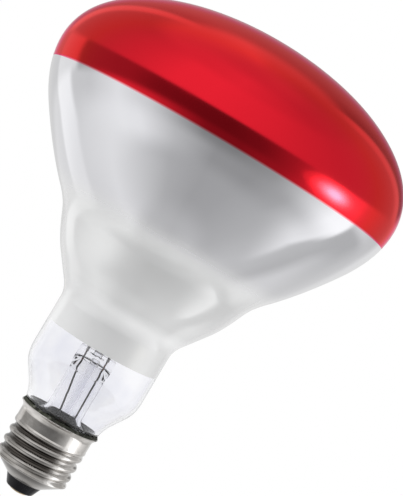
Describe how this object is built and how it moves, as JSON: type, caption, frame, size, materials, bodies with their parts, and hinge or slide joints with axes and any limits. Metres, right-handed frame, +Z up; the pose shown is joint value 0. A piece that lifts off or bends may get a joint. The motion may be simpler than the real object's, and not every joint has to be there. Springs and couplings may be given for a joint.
{
  "type": "infrared heat lamp bulb",
  "caption": "Reflector heat lamp with a wide red glass face, a mirrored cone, a clear neck that shows the glass stem, and a metal screw cap with a black glass insulator.",
  "frame": {"origin": "on the lamp's axis at the end of the screw cap, where the centre contact meets the lampholder", "axes": "+Z up the lamp's axis from the screw cap to the red face; +X to the right as the picture shows the lamp upright"},
  "size_m": [0.125, 0.125, 0.1686],
  "materials": {
    "bulb_glass": "gloss",
    "stem_glass": "gloss",
    "copper_wire": "satin",
    "seal_wire": "satin",
    "nickel_wire": "satin",
    "tungsten": "satin",
    "support_wire": "satin",
    "cap_metal": "satin",
    "black_glass": "gloss",
    "contact_brass": "satin",
    "solder": "satin",
    "cement": "matte"
  },
  "bodies": {
    "root": {"glass_envelope": "bulb_glass", "stem_flare": "stem_glass", "exhaust_tube": "stem_glass", "stem_rod": "stem_glass", "outer_lead_centre": "copper_wire", "outer_lead_side": "copper_wire", "seal_wire_centre": "seal_wire", "seal_wire_side": "seal_wire", "inner_lead_centre": "nickel_wire", "inner_lead_side": "nickel_wire", "filament": "tungsten", "filament_support_1": "support_wire", "filament_support_2": "support_wire", "filament_support_3": "support_wire", "filament_support_4": "support_wire", "filament_support_5": "support_wire", "cap_shell": "cap_metal", "cap_insulator": "black_glass", "centre_contact": "contact_brass", "centre_solder": "solder", "side_solder": "solder", "basing_cement": "cement"}
  },
  "joints": []
}
